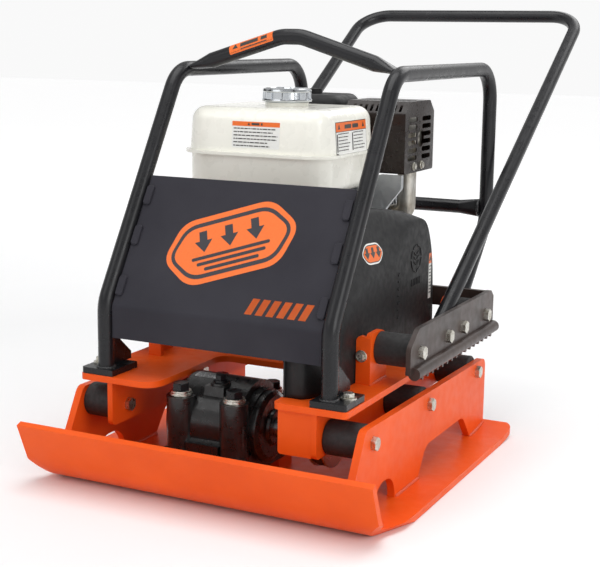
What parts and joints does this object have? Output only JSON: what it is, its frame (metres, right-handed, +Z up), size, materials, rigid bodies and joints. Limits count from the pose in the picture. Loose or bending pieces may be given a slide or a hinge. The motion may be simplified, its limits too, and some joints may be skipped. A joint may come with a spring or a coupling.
{
  "type": "vibratory plate compactor",
  "caption": "Forward plate compactor: curled base plate with belt-driven exciter, rubber-mounted petrol engine deck in a tube cage, folding handle",
  "frame": {"origin": "middle of the base plate's flat ground face", "axes": "+Z up; -Y is the machine's front, the travel direction; +X is the belt guard side"},
  "size_m": [0.618, 1.2159, 0.7647],
  "materials": {
    "orange_paint": "satin powder coat",
    "black_paint": "satin powder coat",
    "black_enamel": "semi-gloss enamel",
    "zinc": "zinc plated",
    "bare_steel": "machined",
    "rubber": "matt",
    "belt_rubber": "matt",
    "cast_aluminium": "as cast",
    "tank_enamel": "gloss enamel",
    "cap_chrome": "polished",
    "black_plastic": "textured",
    "dark_enamel": "gloss heat-proof enamel",
    "exhaust_steel": "aluminised",
    "red_plastic": "moulded"
  },
  "bodies": {
    "base": {"base_plate": "orange_paint", "side_plate_right": "orange_paint", "side_plate_left": "orange_paint", "side_plate_bolts": "zinc", "deck_isolators": "rubber", "exciter_mount_bars": "orange_paint", "exciter_housing": "black_enamel", "exciter_cap_left": "black_enamel", "exciter_cap_right": "black_enamel", "exciter_bearings": "bare_steel", "exciter_bolts": "zinc", "exciter_plug": "zinc", "drive_belt": "belt_rubber"},
    "exciter_rotor": {"exciter_shaft": "bare_steel", "exciter_weight": "bare_steel", "exciter_pulley": "bare_steel"},
    "deck": {"deck_plate": "orange_paint", "deck_web_right": "orange_paint", "deck_web_left": "orange_paint", "deck_front_plate": "orange_paint", "deck_bolts": "zinc", "handle_tabs": "orange_paint", "handle_isolators": "rubber", "hoop_right": "black_paint", "hoop_left": "black_paint", "hoop_feet": "black_paint", "hoop_bolts": "zinc", "lifting_bar": "black_paint", "cage_crossbar": "black_paint", "shield": "black_paint", "engine_block": "cast_aluminium", "cylinder_head": "cast_aluminium", "fan_shroud": "black_paint", "recoil_housing": "black_plastic", "belt_guard": "black_plastic", "guard_plate": "black_plastic", "fuel_tank": "tank_enamel", "muffler": "exhaust_steel", "muffler_guard": "dark_enamel", "exhaust_elbow": "exhaust_steel", "muffler_bracket": "cast_aluminium", "air_cleaner": "black_plastic", "carburettor": "cast_aluminium", "engine_bolts": "zinc"},
    "handle_mount": {"bracket_right": "black_paint", "bracket_left": "black_paint", "bracket_crossbar": "black_paint", "bracket_bolts": "zinc", "stop_bumpers": "rubber"},
    "handle_bar": {"handle": "black_paint"},
    "crank": {"crankshaft": "bare_steel", "flywheel": "bare_steel", "clutch_shoes": "bare_steel"},
    "clutch_bell": {"clutch_drum": "bare_steel"},
    "filler_cap": {"fuel_cap": "cap_chrome"},
    "starter_grip": {"recoil_grip": "black_plastic"},
    "throttle": {"throttle_lever": "bare_steel"},
    "stop_switch": {"ignition_switch": "red_plastic"},
    "choke": {"choke_lever": "bare_steel"},
    "fuel_tap": {"fuel_valve_lever": "black_plastic"}
  },
  "joints": [
    {"name": "deck_float", "type": "slide", "parent": "base", "child": "deck", "axis": [0, 0, 1], "range_m": [-0.005, 0.005], "stiffness_N_per_m": 120000, "springref_m": 0.0075, "deforming": ["drive_belt"]},
    {"name": "handle_mount_float", "type": "slide", "parent": "deck", "child": "handle_mount", "axis": [0, 0, 1], "range_m": [-0.004, 0.004], "stiffness_N_per_m": 60000, "springref_m": 0.0017},
    {"name": "handle_fold", "type": "hinge", "parent": "handle_mount", "child": "handle_bar", "pos_m": [0, 0.088, 0.232], "axis": [1, 0, 0], "range_deg": [0, 118]},
    {"name": "exciter_spin", "type": "hinge", "parent": "base", "child": "exciter_rotor", "pos_m": [0, -0.105, 0.1], "axis": [1, 0, 0], "continuous": true},
    {"name": "clutch_bell_spin", "type": "hinge", "parent": "deck", "child": "clutch_bell", "pos_m": [0.149, 0.15, 0.3], "axis": [1, 0, 0], "continuous": true},
    {"name": "crank_spin", "type": "hinge", "parent": "deck", "child": "crank", "pos_m": [0, 0.15, 0.3], "axis": [1, 0, 0], "continuous": true},
    {"name": "cap_twist", "type": "hinge", "parent": "deck", "child": "filler_cap", "pos_m": [-0.043, 0.12, 0.6], "axis": [0, 0, 1], "range_deg": [0, 90]},
    {"name": "starter_pull", "type": "slide", "parent": "deck", "child": "starter_grip", "axis": [-1, 0, 0], "range_m": [0, 0.4], "stiffness_N_per_m": 20},
    {"name": "throttle_turn", "type": "hinge", "parent": "deck", "child": "throttle", "pos_m": [-0.155, 0.262, 0.388], "axis": [1, 0, 0], "range_deg": [-25, 25]},
    {"name": "switch_turn", "type": "hinge", "parent": "deck", "child": "stop_switch", "pos_m": [-0.156, 0.246, 0.238], "axis": [1, 0, 0], "range_deg": [-60, 0]},
    {"name": "choke_turn", "type": "hinge", "parent": "deck", "child": "choke", "pos_m": [-0.112, 0.336, 0.428], "axis": [1, 0, 0], "range_deg": [0, 45]},
    {"name": "fuel_tap_turn", "type": "hinge", "parent": "deck", "child": "fuel_tap", "pos_m": [-0.112, 0.322, 0.402], "axis": [1, 0, 0], "range_deg": [-80, 0]}
  ],
  "couplings": [
    {"joint": "clutch_bell_spin", "follows": "exciter_spin", "ratio": 0.6338}
  ]
}
